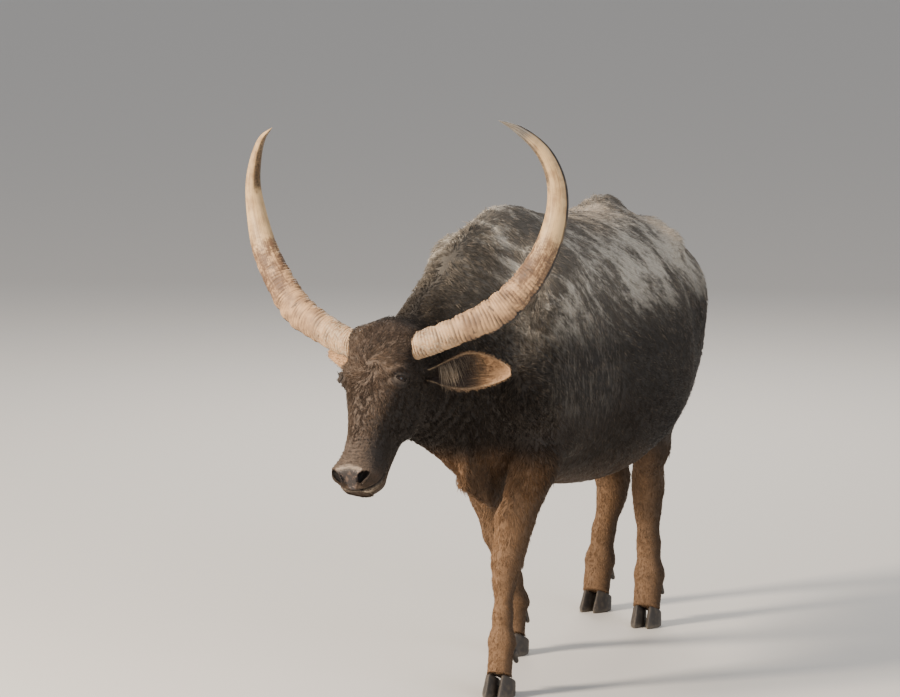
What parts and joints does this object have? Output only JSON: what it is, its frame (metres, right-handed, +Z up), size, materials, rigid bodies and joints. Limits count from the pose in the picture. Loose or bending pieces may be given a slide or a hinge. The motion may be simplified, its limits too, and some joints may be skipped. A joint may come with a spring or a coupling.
{
  "type": "water buffalo",
  "caption": "Life-size standing water buffalo cow with long swept crescent horns, head lowered, cloven hooves and tufted tail.",
  "frame": {"origin": "middle of the bounding box, on the floor under the hooves", "axes": "The animal faces -Y. Its left side is +X. +Z is up."},
  "size_m": [1.2912, 2.4276, 2.0513],
  "materials": {
    "hide": "dark slate grey-black hide with sparse coarse hair and dried mud",
    "leg_hide": "tan-brown short-haired hide of the lower legs",
    "ear_hide": "brown ear skin with a pale hairy rim",
    "horn": "ridged cream-tan horn with dark tips",
    "hoof": "dark grey-black hoof horn",
    "eye": "wet dark brown eye",
    "tail_hair": "coarse black switch hair"
  },
  "bodies": {
    "root": {"horn_left_base": "horn", "horn_left_tip": "horn", "horn_right_base": "horn", "horn_right_tip": "horn", "eye_left": "eye", "eye_right": "eye", "ear_left": "ear_hide", "ear_right": "ear_hide", "leg_front_left_upper": "leg_hide", "leg_front_left_lower": "leg_hide", "hoof_front_left_outer": "hoof", "dewclaw_front_left_outer": "hoof", "hoof_front_left_inner": "hoof", "dewclaw_front_left_inner": "hoof", "leg_front_right_upper": "leg_hide", "leg_front_right_lower": "leg_hide", "hoof_front_right_outer": "hoof", "dewclaw_front_right_outer": "hoof", "hoof_front_right_inner": "hoof", "dewclaw_front_right_inner": "hoof", "leg_hind_left_upper": "leg_hide", "leg_hind_left_lower": "leg_hide", "hoof_hind_left_outer": "hoof", "dewclaw_hind_left_outer": "hoof", "hoof_hind_left_inner": "hoof", "dewclaw_hind_left_inner": "hoof", "leg_hind_right_upper": "leg_hide", "leg_hind_right_lower": "leg_hide", "hoof_hind_right_outer": "hoof", "dewclaw_hind_right_outer": "hoof", "hoof_hind_right_inner": "hoof", "dewclaw_hind_right_inner": "hoof", "tail": "hide", "tail_switch": "tail_hair", "head": "hide", "neck": "hide", "torso": "hide"}
  },
  "joints": []
}
